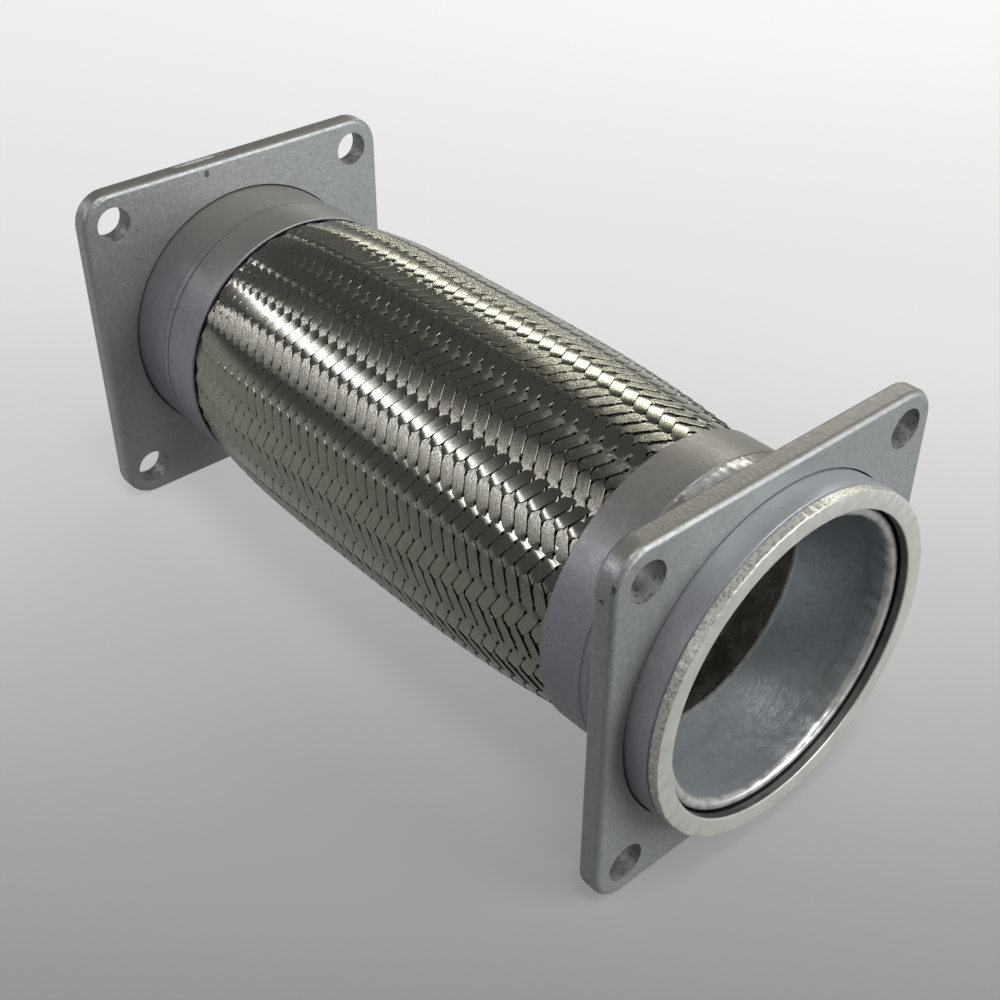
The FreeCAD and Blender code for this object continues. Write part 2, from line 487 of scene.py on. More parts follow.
@dataclass(frozen=True)
class WireStrand:
    """Flat strand of fine bright wires that lie side by side, read from the strand's own UV map."""

    name: str
    colour: Colour = (0.345, 0.342, 0.288)
    groove: Colour = (0.17, 0.163, 0.14)
    smoke: Colour = (0.22, 0.205, 0.17)
    edge_shade: Colour = (0.04, 0.04, 0.04)
    wires: int = 8
    roughness: float = 0.26
    streak: float = 0.88
    wire_depth: float = 0.010
    ripple_depth: float = 0.030
    ripples_along: float = 2.5
    ripples_across: float = 20.0

    def material(self) -> bpy.types.Material:
        """Lays out the strand's nodes: wires side by side, each with its own tone and fine waves, with
        painted shade between the wires and along the strand's edges.
        """
        n = Nodes(self.name)
        split = n.add("ShaderNodeSeparateXYZ", {0: n.coordinates.outputs["UV"]})
        along, across = split.outputs["X"], split.outputs["Y"]
        drift = n.math("MULTIPLY", n.math("SUBTRACT", n.noise(60.0, 2.0), 0.5), 0.9)
        count = n.math("ADD", n.math("MULTIPLY", across, float(self.wires)), drift)
        centred = n.math("SUBTRACT", n.math("MULTIPLY", n.math("FRACT", count), 2.0), 1.0)
        round_top = n.math("SQRT", n.math("SUBTRACT", 1.0, n.math("MULTIPLY", centred, centred), True))
        each = n.add("ShaderNodeCombineXYZ", {0: n.math("MULTIPLY", along, 0.8),
                                              1: n.math("FLOOR", count)})
        own = n.noise(1.0, 2.0, 0.5, each.outputs[0])
        # Darker between the round wires: painted shade in the creases.
        base = n.mix(n.ramp(round_top, 0.0, 0.6), self.groove, self.colour)
        base = n.mix(n.ramp(own, 0.35, 0.75, 0.0, 0.45), base, self.smoke)
        from_middle = n.math("ABSOLUTE", n.math("SUBTRACT", across, 0.5))
        # Darker along the strand's two edges: painted shade between neighbouring strands.
        base = n.mix(n.ramp(from_middle, 0.482, 0.496), base, self.edge_shade)
        ripple_place = n.add("ShaderNodeCombineXYZ", {0: n.math("MULTIPLY", along, self.ripples_along),
                                                      1: n.math("MULTIPLY", across, self.ripples_across)})
        ripple = n.noise(1.0, 2.0, 0.5, ripple_place.outputs[0])
        normal = n.bump(round_top, self.wire_depth)
        normal = n.bump(ripple, self.ripple_depth, normal)
        tangent = n.add("ShaderNodeTangent", direction_type="UV_MAP", uv_map="strand")
        rough = n.uneven(own, self.roughness, 0.04, 0.06)
        quarter_turn = 0.25
        return n.finish(Base_Color=base, Metallic=1.0, Roughness=rough, Normal=normal,
                        Anisotropic=self.streak, Anisotropic_Rotation=quarter_turn,
                        Tangent=tangent.outputs[0])


@dataclass(frozen=True)
class PlainSteel:
    """Rolled stainless sheet, dulled by smoke film, for the bellows and the liner; made near black, it also
    stands as painted shade.
    """

    name: str
    colour: Colour = (0.36, 0.35, 0.33)
    film: Colour = (0.16, 0.15, 0.14)
    roughness: float = 0.3

    def material(self) -> bpy.types.Material:
        """Lays out the sheet's nodes."""
        n = Nodes(self.name)
        cloud = n.ramp(n.noise(70.0, 4.0, 0.6), 0.35, 0.7)
        base = n.mix(n.math("MULTIPLY", cloud, 0.6), self.colour, self.film)
        normal = n.bump(n.noise(420.0, 3.0, 0.55), 0.03)
        rough = n.uneven(n.noise(120.0, 3.0, 0.6), self.roughness, 0.05, 0.12)
        return n.finish(Base_Color=base, Metallic=1.0, Roughness=rough, Normal=normal)


# Pieces
@dataclass
class SquareFlange:
    """Loose square plate with four bolt holes and a stepped bore."""

    end: End
    side: float = 130.0
    thickness: float = 8.0
    outer_face: float = 138.0
    corner: float = 12.0
    edge_round: float = 2.0
    bolt_spacing: float = 106.0
    bolt_hole: float = 13.0
    bore: float = 102.6
    seat: float = 116.0
    seat_depth: float = 4.0
    corner_steps: int = 12
    edge_steps: int = 5
    rim_break: float = 0.45
    rim_angle: float = 50.0
    overrun: float = 2.0

    def cutter(self, x: float, length: float, diameter: float, y: float = 0.0,
               z: float = 0.0) -> bpy.types.Object:
        """Makes a cylinder along X for a bore.

        Args:
            x: Middle of the cylinder in millimetres.
            length: Its length in millimetres.
            diameter: Its diameter in millimetres.
            y: Y of its axis.
            z: Z of its axis.

        Returns:
            The cutter.
        """
        deselect_all()
        facets = 128 if diameter >= self.bore else 48
        bpy.ops.mesh.primitive_cylinder_add(vertices=facets, radius=diameter / 2 * MM, depth=length * MM,
                                            location=(x * MM, y * MM, z * MM), rotation=(0, math.pi / 2, 0))
        return bpy.context.active_object

    def round_off(self, plate: bpy.types.Object, radius: float, steps: int, through: bool) -> None:
        """Rounds one set of the plate's edges.

        Args:
            plate: The plate.
            radius: Radius in millimetres.
            steps: Number of segments across the rounding.
            through: True for the edges through the plate, False for those round its two faces.
        """
        bpy.context.tool_settings.mesh_select_mode = (False, True, False)
        bpy.ops.object.mode_set(mode="EDIT")
        bpy.ops.mesh.select_all(action="DESELECT")
        bpy.ops.object.mode_set(mode="OBJECT")
        for edge in plate.data.edges:
            a, b = (plate.data.vertices[k].co for k in edge.vertices)
            edge.select = (abs(a.x - b.x) > self.thickness * MM / 2) == through
        bpy.ops.object.mode_set(mode="EDIT")
        bpy.ops.mesh.bevel(offset=radius * MM, segments=steps, affect="EDGES")
        bpy.ops.object.mode_set(mode="OBJECT")

    def build(self, plate_finish: bpy.types.Material,
              hole_finish: bpy.types.Material) -> bpy.types.Object:
        """Models the plate, bores it and dresses it.

        Args:
            plate_finish: Paint of the plate.
            hole_finish: Finish of the walls of the bolt holes.

        Returns:
            The finished flange, riding on its own body.
        """
        sign = self.end.value
        middle = sign * (self.outer_face - self.thickness / 2)
        deselect_all()
        bpy.ops.mesh.primitive_cube_add(size=1, location=(middle * MM, 0, 0))
        plate = bpy.context.active_object
        plate.scale = (self.thickness * MM, self.side * MM, self.side * MM)
        bpy.ops.object.transform_apply(location=True, rotation=True, scale=True)
        self.round_off(plate, self.corner, self.corner_steps, through=True)
        self.round_off(plate, self.edge_round, self.edge_steps, through=False)
        half = self.bolt_spacing / 2
        seat_middle = sign * (self.outer_face - self.seat_depth / 2 + self.overrun)
        tools = [self.cutter(middle, self.thickness * 2, self.bore),
                 self.cutter(seat_middle, self.seat_depth + 2 * self.overrun, self.seat)]
        tools += [self.cutter(middle, self.thickness * 2, self.bolt_hole, y, z)
                  for y in (-half, half) for z in (-half, half)]
        for tool in tools:
            cut = plate.modifiers.new("bore", "BOOLEAN")
            cut.operation = "DIFFERENCE"
            cut.solver = "EXACT"
            cut.object = tool
            apply_modifiers(plate)
        for tool in tools:
            bpy.data.objects.remove(tool)
        rim = plate.modifiers.new("rim_break", "BEVEL")
        rim.width = self.rim_break * MM
        rim.segments = 2
        rim.limit_method = "ANGLE"
        rim.angle_limit = math.radians(self.rim_angle)
        apply_modifiers(plate)
        settle(plate, self.end.label + "_flange_plate")
        dress(plate, plate_finish, hole_finish)
        wall = self.bolt_hole / 2 + 0.3
        paint_faces(plate, lambda at, normal: int(
            abs(normal.x) < 0.5 and math.hypot(abs(at.y) - half, abs(at.z) - half) < wall))
        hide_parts(self.end.label + "_flange")
        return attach(plate, self.end.label + "_flange")


class RingFinish(IntEnum):
    """Material slots of the sealing ring."""

    FACE = 0
    RIM = 1
    SIDE = 2
    GROOVE = 3
    MOUTH = 4


@dataclass
class SealRing:
    """Turned ring that stands out of the flange, with a bare face, a rough band and a painted side."""

    end: End
    face: float = 150.0
    back: float = 134.2
    inside: float = 50.85
    outside: float = 57.5
    band: float = 3.6
    band_drop: float = 0.35
    teeth: int = 420
    tooth_height: tuple[float, float] = (-0.22, 0.10)
    tooth_seed: int = 11
    face_depth: float = 3.2
    mouth_depth: float = 2.7

    def build(self, face: bpy.types.Material, rough: bpy.types.Material,
              side: bpy.types.Material, groove: bpy.types.Material,
              bore: bpy.types.Material) -> bpy.types.Object:
        """Models the ring with its toothed rim.

        Args:
            face: Bare machined finish.
            rough: Finish of the toothed band.
            side: Paint of the ring's side.
            groove: Near-black painted shade deep in the bore, round the cone's lip.
            bore: Dull finish of the bore's mouth, darkened as painted shade.

        Returns:
            The finished ring.
        """
        s = self.end.value
        low = self.outside - self.band_drop
        lip = self.face - self.band
        outline = [(s * (self.face - 0.15), self.inside + 0.25), (s * self.face, self.inside + 0.6),
                   (s * self.face, low - 0.45),
                   (s * (self.face - 0.12), low - 0.18), (s * (self.face - 0.4), low),
                   (s * (lip + 0.5), low), (s * (lip + 0.25), low - 0.25), (s * lip, low - 0.25),
                   (s * (lip - 0.05), self.outside - 0.15), (s * (lip - 0.25), self.outside),
                   (s * self.back, self.outside), (s * self.back, self.inside),
                   (s * (self.face - self.mouth_depth), self.inside),
                   (s * (self.face - 0.5), self.inside + 0.04)]
        ring = spun(self.end.label + "_ring", outline, steps=self.teeth, smooth_angle=30)
        edge = random.Random(self.tooth_seed)
        lift = [edge.uniform(*self.tooth_height) for _ in range(self.teeth)]
        for vertex in ring.data.vertices:
            x, r = abs(vertex.co.x) / MM, math.hypot(vertex.co.y, vertex.co.z) / MM
            if lip + 0.3 < x < self.face - 0.05 and r > low - 0.3:
                turn = math.atan2(vertex.co.z, vertex.co.y) / (2 * math.pi) * self.teeth
                scale_out(vertex, (r + lift[round(turn) % self.teeth]) / r)
        dress(ring, face, rough, side, groove, bore)

        def choose(at: Vector, normal: Vector) -> RingFinish:
            """Finish of one face of the ring."""
            x, r = abs(at.x), math.hypot(at.y, at.z)
            # Deep in the bore the faces take painted shade: dull at the mouth, near black further in.
            if r < self.inside + 0.2 and x < self.face - 0.5:
                return RingFinish.MOUTH if x > self.face - self.mouth_depth else RingFinish.GROOVE
            if r < low - 0.3:
                return RingFinish.FACE if x > self.face - self.face_depth else RingFinish.SIDE
            return RingFinish.RIM if x > lip + 0.4 else RingFinish.SIDE

        paint_faces(ring, choose)
        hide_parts(self.end.label + "_seal_ring")
        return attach(ring, self.end.label + "_end")


class ConeFinish(IntEnum):
    """Material slots of the inner cone."""

    BOWL = 0
    WELD = 1
    DARK = 2


@dataclass
class PipeEnd:
    """Collar, ferrule, weld bead, inner cone and mouth lip of one end."""

    end: End
    reach: float
    face: float = 150.0
    tube: float = 50.8
    wall: float = 2.0
    set_back: float = 6.0
    ferrule_length: float = 17.0
    ferrule_outer: float = 51.3
    ferrule_wall: float = 1.2
    ferrule_lip: float = 0.6
    cone_wall: float = 1.8
    cone_depth: float = 12.0
    cone_fullness: float = 0.7
    cone_steps: int = 18
    rolled_lip: tuple[Point, ...] = (
        (5.4, -1.8), (4.3, -1.65), (3.5, -1.1), (3.2, -0.3), (3.25, 0.7), (3.5, 1.3), (4.0, 1.65),
        (4.9, 1.7), (5.8, 1.4), (5.8, 0.0))
    weld_depth: float = 6.0
    tail_ring: float = 1.2
    lump: float = 0.75
    lump_side: float = -25.0
    throat: float = 42.0
    tail: float = 5.0
    bead_width: float = 4.2
    bead_height: float = 0.42
    bead_ripple: float = 0.15
    bare_and_highlight_middle: float = -2.5
    bare_and_highlight_half: float = 12.5
    bare_and_highlight_rag: float = 6.0

    def at(self, depth: float, radius: float) -> Point:
        """Outline point at a depth behind this end's sealing face."""
        return self.end.value * (self.face - depth), radius

    def collar(self, paint: bpy.types.Material, groove: bpy.types.Material) -> bpy.types.Object:
        """Models the tube stub, with a rounded end that closes the narrow space round the cone's lip; that
        end takes the near-black painted shade.
        """
        inside = self.tube - self.wall
        outline = [self.at(self.set_back, inside + 0.3), self.at(self.set_back + 0.1, inside + 1.0),
                   self.at(self.set_back + 0.4, self.tube), self.at(self.reach, self.tube),
                   self.at(self.reach, inside), self.at(self.set_back + 0.3, inside)]
        piece = dress(spun(self.end.label + "_collar_tube", outline), paint, groove)
        # Faces at the stub's front end take the near-black painted shade.
        paint_faces(piece, lambda at, normal: int(self.face - abs(at.x) < self.set_back + 0.5))
        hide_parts(self.end.label + "_collar")
        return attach(piece, self.end.label + "_end")

    def bead(self, finish: bpy.types.Material, top: bpy.types.Material) -> bpy.types.Object:
        """Models the weld bead between collar and ferrule.

        Args:
            finish: Finish of the bead.
            top: Finish of a patch on its upper side: bare weld metal where the paint is thin, and in part a
                painted highlight.

        Returns:
            The finished bead.
        """
        side, height = self.bead_width / 2, self.bead_height
        crown = [(-side, -0.3), (-side, 0.0), (-1.5, height * 0.62), (-0.8, height * 0.9), (0.0, height),
                 (0.8, height * 0.9), (1.5, height * 0.66), (side, 0.45), (side, -0.3)]
        outline = [self.at(self.reach - side - 0.1 + dx, self.tube + dr) for dx, dr in crown]
        piece = spun(self.end.label + "_weld_bead", outline, steps=320, smooth_angle=60)
        for vertex in piece.data.vertices:
            r = math.hypot(vertex.co.y, vertex.co.z)
            if r / MM > self.tube + 0.1:
                turn = math.atan2(vertex.co.z, vertex.co.y)
                uneven = noise.noise(Vector((turn * 26, vertex.co.x * 260, 4.0)))
                lift = uneven + 0.5 * math.sin(turn * 96)
                scale_out(vertex, 1 + self.bead_ripple * MM * lift / r)
        dress(piece, finish, top)
        # The patch on the upper side takes the top finish: bare weld metal, and in part a painted highlight.
        paint_faces(piece, lambda at, normal: int(
            at.z > 0 and
            abs(at.y - self.bare_and_highlight_middle) < self.bare_and_highlight_half + self.bare_and_highlight_rag * noise.noise(at * 0.5)))
        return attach(piece, self.end.label + "_end")

    def ferrule(self, paint: bpy.types.Material) -> bpy.types.Object:
        """Models the sleeve over the braid's end, rolled in at its lip."""
        inside = self.ferrule_outer - self.ferrule_wall
        last = self.reach + self.ferrule_length
        outline = [self.at(self.reach + 0.1, inside), self.at(self.reach + 0.1, self.ferrule_outer - 0.35),
                   self.at(self.reach + 0.5, self.ferrule_outer)]
        lip = self.ferrule_lip
        outline += [self.at(last - lip + lip * math.sin(math.radians(a)),
                            self.ferrule_outer - lip + lip * math.cos(math.radians(a)))
                    for a in range(0, 181, 30)]
        outline += [self.at(last - 0.9, inside)]
        piece = dress(spun(self.end.label + "_ferrule_sleeve", outline), paint)
        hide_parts(self.end.label + "_ferrule")
        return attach(piece, self.end.label + "_end")

    def cone(self, paint: bpy.types.Material, weld: bpy.types.Material,
             dark: bpy.types.Material) -> bpy.types.Object:
        """Models the spun inner cone with its lumpy welded lip.

        Args:
            paint: Paint of the bowl.
            weld: Bright finish of the lip.
            dark: Finish of the cone's tail.

        Returns:
            The finished cone.
        """
        mouth = self.tube - self.wall
        shoulder = self.throat + self.cone_fullness * (mouth - self.cone_wall - self.throat)
        bowl = self.curve(mouth - self.cone_wall, shoulder, self.throat)
        back = self.curve(mouth, shoulder + self.cone_wall, self.throat + self.cone_wall)
        outline = [self.at(depth, mouth + rise) for depth, rise in self.rolled_lip]
        outline += [self.at(d, r) for d, r in back]
        outline += [self.at(self.reach + self.tail, self.throat + self.cone_wall),
                    self.at(self.reach + self.tail, self.throat)]
        outline += [self.at(d, r) for d, r in reversed(bowl)]
        piece = spun(self.end.label + "_cone", outline, steps=240, smooth_angle=50)
        for vertex in piece.data.vertices:
            depth = self.face - abs(vertex.co.x) / MM
            r = math.hypot(vertex.co.y, vertex.co.z)
            turn = math.atan2(vertex.co.z, vertex.co.y)
            here = Vector((math.cos(turn) * 7, math.sin(turn) * 7, depth * 0.35))
            if depth < self.cone_depth * 0.75 and r / MM < mouth + 0.9:
                lumpy = 0.25 + 0.75 * max(0.0, math.cos(turn - math.radians(self.lump_side)))
                scale_out(vertex, 1 - self.lump * MM * lumpy * max(0.0, noise.noise(here * 2.2) + 0.15) / r)
        dress(piece, paint, weld, dark)

        def choose(at: Vector, normal: Vector) -> ConeFinish:
            """Finish of one face of the cone."""
            depth, r = self.face - abs(at.x), math.hypot(at.y, at.z)
            if self.reach - self.tail_ring < depth < self.reach and r < self.throat + 0.6:
                return ConeFinish.WELD
            if depth < self.weld_depth + 0.9 * noise.noise(at * 0.25):
                return ConeFinish.WELD if r < mouth + 1.5 else ConeFinish.DARK
            hidden = depth > self.reach + 1.5 or r > mouth - 0.4
            return ConeFinish.DARK if hidden else ConeFinish.BOWL

        paint_faces(piece, choose)
        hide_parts(self.end.label + "_inner_cone")
        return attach(piece, self.end.label + "_end")

    def curve(self, first: float, middle: float, last: float) -> list[Point]:
        """Points of the bowl's curve as depth and radius, through a middle radius.

        Args:
            first: Radius at the straight mouth.
            middle: Radius half way.
            last: Radius at the throat.

        Returns:
            The points.
        """
        points = []
        for k in range(self.cone_steps + 1):
            t = k / self.cone_steps
            radius = first * (1 - t) * (1 - 2 * t) + 4 * middle * t * (1 - t) + last * t * (2 * t - 1)
            points.append((self.cone_depth + (self.reach - self.cone_depth) * t, radius))
        return points


@dataclass
class FlexibleMiddle:
    """Braid, bellows and liner, which flex in the real pipe; here they are modelled straight."""

    far_edge: float = -91.0
    near_edge: float = 97.0
    far_weld: float = -108.0
    near_weld: float = 114.0
    edge_radius: float = 49.8
    bulge: float = 5.5
    bulge_middle: float = -6.0
    near_fullness: float = 2.9
    far_fullness: float = 4.0
    strands: int = 36
    rows: int = 36
    strand_width: float = 4.47
    strand_waist: float = 3.2
    strand_drop: float = 0.17
    strand_cover: float = 0.22
    strand_crown: float = 0.18
    dive_start: float = 0.72
    dive_length: float = 0.56
    waist_half: float = 0.36
    waist_ramp: float = 0.17
    strand_wander: float = 0.22
    strand_lift: float = 0.05
    strand_tilt: float = 0.022
    width_spread: float = 0.03
    strand_seed: int = 7
    steps_per_crossing: int = 6
    bellows_folds: int = 13
    bellows_wall: float = 0.8
    bellows_root: float = 47.3
    bellows_neck: float = 47.9
    bellows_end_gap: float = 9.0
    bellows_gap: float = 1.9
    crest_ease: float = 0.996
    fold_round: float = 0.2
    liner_sides: int = 20
    liner_turns: int = 34
    liner_flat: float = 44.1
    liner_wall: float = 0.9
    liner_turn: float = 4.0
    lap_step: float = 0.6

    def radius(self, x: float) -> float:
        """Outer radius of the braid at x, both in millimetres."""
        if x > self.bulge_middle:
            drop = ((x - self.bulge_middle) / (self.near_edge - self.bulge_middle)) ** self.near_fullness
        else:
            drop = ((self.bulge_middle - x) / (self.bulge_middle - self.far_edge)) ** self.far_fullness
        return self.edge_radius + self.bulge * (1 - min(drop, 1.0))

    def bend(self, piece: bpy.types.Object) -> bpy.types.Object:
        """Bakes a piece's place into its mesh; the piece stays straight."""
        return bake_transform(piece)

    def lay(self, crossing: float) -> tuple[float, float]:
        """Shape of a strand in the two over, two under order.

        Args:
            crossing: Place along the strand, in crossings, with a float's middle at 0.5.

        Returns:
            Height from -1, under, to 1, over, and width in millimetres.
        """
        off = abs((crossing + 1.5) % 4 - 2)
        dive = max(0.0, min(1.0, (off - self.dive_start) / self.dive_length))
        pinch = max(0.0, min(1.0, (self.waist_half - abs(off - 1)) / self.waist_ramp))
        height = 1 - 2 * dive * dive * (3 - 2 * dive) - self.strand_crown * min(off, 1.0) ** 2
        return height, self.strand_width - (self.strand_width - self.strand_waist) * pinch

    def strand(self, lean: Lean, index: int, dice: random.Random) -> tuple[list, list, list]:
        """Points, faces and UVs of one strand.

        Args:
            lean: The way the strand winds.
            index: Its number round the pipe.
            dice: Source of small differences between strands.

        Returns:
            Vertices, faces and one UV per vertex.
        """
        pitch = (self.near_edge - self.far_edge) / self.rows
        share = 360 / self.strands
        steps = (2 * self.rows + 4) * self.steps_per_crossing
        section = self.section()
        wobble, shift = dice.uniform(-40, 40), dice.uniform(0, 400)
        points, uvs, spots = [], [], []
        for k in range(steps + 1):
            row = k / self.steps_per_crossing / 2 - 1
            x = self.far_edge + row * pitch
            turn = lean.value * math.radians(share * row) + math.radians(share * index)
            turn += math.radians(self.strand_wander) * noise.noise(Vector((row * 0.35, wobble, 5.3)))
            place = math.degrees(turn) / (share / 2)
            up, width = self.lay(place if lean is Lean.RIGHT else place + 2)
            lift = self.strand_lift * noise.noise(Vector((row * 0.5, wobble, 2.9)))
            radius = self.radius(x) - self.strand_cover - self.strand_drop * (1 - up) + lift
            spots.append((Vector((x, radius * math.cos(turn), radius * math.sin(turn))), turn, width))
        for k, (spot, turn, width) in enumerate(spots):
            before, after = spots[max(k - 1, 0)][0], spots[min(k + 1, steps)][0]
            along = (after - before).normalized()
            out = Vector((0, math.cos(turn), math.sin(turn)))
            out = (out - along * out.dot(along)).normalized()
            side = along.cross(out)
            tilt = self.strand_tilt * noise.noise(Vector((k * 0.07, wobble, 1.7)))
            width *= 1 + self.width_spread * noise.noise(Vector((k * 0.05, wobble, 9.1)))
            for a, b in section:
                points.append((spot + side * (a * width) + out * (b + a * width * tilt)) * MM)
                uvs.append((shift + k / self.steps_per_crossing, 0.5 + a))
        around = len(section)
        faces = []
        for k in range(steps):
            for m in range(around):
                n = (m + 1) % around
                faces.append((k * around + m, k * around + n, (k + 1) * around + n, (k + 1) * around + m))
        faces.append(tuple(reversed(range(around))))
        faces.append(tuple(steps * around + m for m in range(around)))
        return points, faces, uvs

    def section(self) -> list[Point]:
        """Flat cross-section of a strand: share of its width, and height in millimetres."""
        return [(-0.5, -0.05), (-0.475, 0.10), (-0.33, 0.135), (0.33, 0.135), (0.475, 0.10), (0.5, -0.05)]

    def lay_of_strands(self, lean: Lean, finish: bpy.types.Material) -> bpy.types.Object:
        """Models all the strands that wind one way as one piece.

        Args:
            lean: The way they wind.
            finish: Their wire finish.

        Returns:
            The finished piece.
        """
        dice = random.Random(self.strand_seed + lean.value)
        points, faces, uvs = [], [], []
        for index in range(self.strands):
            more_points, more_faces, more_uvs = self.strand(lean, index, dice)
            start = len(points)
            points += more_points
            uvs += more_uvs
            faces += [tuple(start + v for v in face) for face in more_faces]
        name = "braid_strands_" + lean.name.lower()
        piece = mesh_piece(name, points, faces)
        layer = piece.data.uv_layers.new(name="strand")
        for loop in piece.data.loops:
            layer.data[loop.index].uv = uvs[loop.vertex_index]
        make_active(piece)
        bpy.ops.object.mode_set(mode="EDIT")
        bpy.ops.mesh.select_all(action="SELECT")
        bpy.ops.mesh.normals_make_consistent(inside=False)
        bpy.ops.object.mode_set(mode="OBJECT")
        settle(piece, name, smooth_angle=30, flat_faces=False)
        dress(piece, finish)
        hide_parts("braid")
        return self.bend(piece)

    def bellows(self, finish: bpy.types.Material) -> bpy.types.Object:
        """Models the corrugated tube under the braid."""
        first, last = self.far_edge + self.bellows_end_gap, self.near_edge - self.bellows_end_gap
        pitch = (last - first) / self.bellows_folds
        bow = pitch * self.fold_round
        outer: list[Point] = [(self.far_weld + 0.3, self.bellows_neck), (first - 1, self.bellows_neck)]
        for fold in range(self.bellows_folds):
            middle = first + (fold + 0.5) * pitch
            crest = (self.radius(middle) - self.bellows_gap) * self.crest_ease
            outer += arc((middle, crest - bow), bow, 180, 0, 8)
            if fold < self.bellows_folds - 1:
                outer += arc((middle + pitch / 2, self.bellows_root + bow), bow, 200, 340, 6)
        outer += [(last + 1, self.bellows_neck), (self.near_weld - 0.3, self.bellows_neck)]
        inner = [(x, r - self.bellows_wall) for x, r in reversed(outer)]
        piece = dress(spun("bellows_tube", outer + inner, steps=96, smooth_angle=60), finish)
        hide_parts("bellows")
        return self.bend(piece)

    def liner(self, finish: bpy.types.Material) -> bpy.types.Object:
        """Models the strip-wound liner: polygon turns that lap like shingles."""
        flat, step = self.liner_flat, self.lap_step
        corner = 1 / math.cos(math.pi / self.liner_sides)
        first, last = self.far_weld - 1, self.near_weld + 1
        pitch = (last - first) / self.liner_turns
        laps: list[Point] = []
        for k in range(self.liner_turns):
            x = first + k * pitch
            laps += [(x, flat * corner), (x + pitch * 0.90, (flat + step * 0.5) * corner),
                     (x + pitch * 0.94, (flat + step) * corner),
                     (x + pitch * 0.985, (flat + step) * corner)]
        laps.append((last, flat * corner))
        outside = (flat + step + self.liner_wall) * corner
        outline = laps + [(last - k * pitch, outside) for k in range(self.liner_turns + 1)]
        hose = spun("liner_hose", outline, steps=self.liner_sides, smooth_angle=8, turn=self.liner_turn)
        piece = dress(hose, finish)
        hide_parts("liner")
        return self.bend(piece)


# Studio
@dataclass
class PhotoCamera:
    """Camera at the photograph's viewing angle, in units of 1.3 mm as fitted."""

    azimuth: float = 48.7213
    elevation: float = 36.2624
    roll: float = 0.2484
    distance: float = 390.166
    right: float = 10.814
    up: float = -14.504
    focal: float = 1458.8
    frame_width: float = 1000.0
    sensor: float = 36.0
    unit: float = 0.0013

    def build(self) -> bpy.types.Object:
        """Places the camera and makes it the scene's own."""
        az, el, roll = (math.radians(a) for a in (self.azimuth, self.elevation, self.roll))
        back = Vector((math.sin(az) * math.cos(el), -math.cos(az) * math.cos(el), math.sin(el)))
        right = Vector((math.cos(az), math.sin(az), 0))
        up = back.cross(right)
        centre = (back * self.distance + right * self.right + up * self.up) * self.unit
        across = right * math.cos(roll) + up * math.sin(roll)
        upward = up * math.cos(roll) - right * math.sin(roll)
        data = bpy.data.cameras.new("photo_camera")
        data.sensor_fit = "HORIZONTAL"
        data.sensor_width = self.sensor
        data.lens = self.sensor * self.focal / self.frame_width
        data.clip_start = 0.01
        data.clip_end = 100
        camera = bpy.data.objects.new("photo_camera", data)
        bpy.context.scene.collection.objects.link(camera)
        turned = Matrix((across, upward, back)).transposed().to_4x4()
        camera.matrix_world = Matrix.Translation(centre) @ turned
        bpy.context.scene.camera = camera
        return camera


@dataclass(frozen=True)
class SoftLamp:
    """One soft rectangular lamp: where it hangs, what it faces and its size, in metres, and its watts."""

    name: str
    place: tuple[float, float, float]
    aim: tuple[float, float, float]
    size: tuple[float, float]
    power: float
    colour: Colour

    def hang(self) -> bpy.types.Object:
        """Hangs the lamp in the scene."""
        data = bpy.data.lights.new(self.name, "AREA")
        data.shape = "RECTANGLE"
        data.size, data.size_y = self.size
        data.energy = self.power
        data.color = self.colour
        lamp = bpy.data.objects.new(self.name, data)
        bpy.context.scene.collection.objects.link(lamp)
        lamp.location = self.place
        lamp.rotation_euler = (Vector(self.aim) - Vector(self.place)).to_track_quat("-Z", "Y").to_euler()
        return lamp


